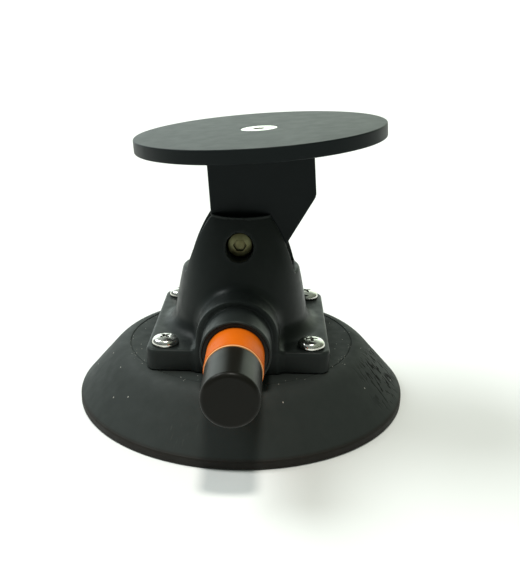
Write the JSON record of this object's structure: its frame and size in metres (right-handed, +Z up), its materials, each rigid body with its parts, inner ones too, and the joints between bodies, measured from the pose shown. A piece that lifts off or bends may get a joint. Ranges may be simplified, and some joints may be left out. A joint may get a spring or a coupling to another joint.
{
  "type": "vacuum suction cup mount",
  "caption": "Hand-pumped vacuum mounting cup: rubber pad, moulded pump body with spring-out plunger and indicator band, and a round plate on a tilting bracket.",
  "frame": {"origin": "middle of the bounding box at the sealing rim's plane; the pad's axis is 10.8 mm behind it, at x = 0, y = 0.0108", "axes": "+Z up, away from the surface the cup holds on to; the pump plunger points along -Y; the bracket tilts about an axis parallel to Y"},
  "size_m": [0.1524, 0.174, 0.1285],
  "materials": {
    "pad_rubber": "matt moulded rubber with faint flow marks",
    "housing_moulding": "black fine-textured moulding, satin",
    "indicator_orange": "semi-gloss orange plastic",
    "cap_black": "semi-gloss black plastic",
    "coated_aluminium": "dark grey satin coating on aluminium",
    "stainless": "turned stainless steel",
    "zinc_steel": "bright zinc plated steel",
    "passivated_steel": "yellow passivated zinc plated steel",
    "spring_steel": "drawn spring wire",
    "brass": "turned brass",
    "nylon": "natural nylon",
    "seal_rubber": "smooth nitrile rubber",
    "felt": "pressed wool felt"
  },
  "bodies": {
    "pad": {"rubber_pad": "pad_rubber"},
    "housing": {"pump_housing": "housing_moulding", "backing_plate": "zinc_steel", "air_filter": "felt", "valve_seat": "nylon", "intake_valve": "seal_rubber", "flange_screw_front_left": "stainless", "flange_screw_front_right": "stainless", "flange_screw_rear_left": "stainless", "flange_screw_rear_right": "stainless", "flange_nut_front_left": "zinc_steel", "flange_nut_front_right": "zinc_steel", "flange_nut_rear_left": "zinc_steel", "flange_nut_rear_right": "zinc_steel", "barrel_gland": "housing_moulding", "return_spring": "spring_steel", "pivot_bolt": "passivated_steel", "pivot_nut": "passivated_steel"},
    "plunger": {"plunger_body": "nylon", "piston_seal": "seal_rubber", "indicator_band": "indicator_orange", "plunger_cap": "cap_black"},
    "tilt_head": {"mount_bracket": "coated_aluminium", "thread_insert": "brass", "mount_plate": "coated_aluminium", "plate_screw": "stainless"}
  },
  "joints": [
    {"name": "press_down", "type": "slide", "parent": "pad", "child": "housing", "axis": [0, 0, -1], "range_m": [0, 0.008], "stiffness_N_per_m": 4000, "springref_m": -0.004, "deforming": ["rubber_pad"]},
    {"name": "plunger_stroke", "type": "slide", "parent": "housing", "child": "plunger", "axis": [0, 1, 0], "range_m": [0, 0.0175], "stiffness_N_per_m": 400, "springref_m": -0.01, "deforming": ["return_spring"]},
    {"name": "head_tilt", "type": "hinge", "parent": "housing", "child": "tilt_head", "pos_m": [0, 0.0108, 0.076], "axis": [0, -1, 0], "range_deg": [-46, 85]}
  ]
}
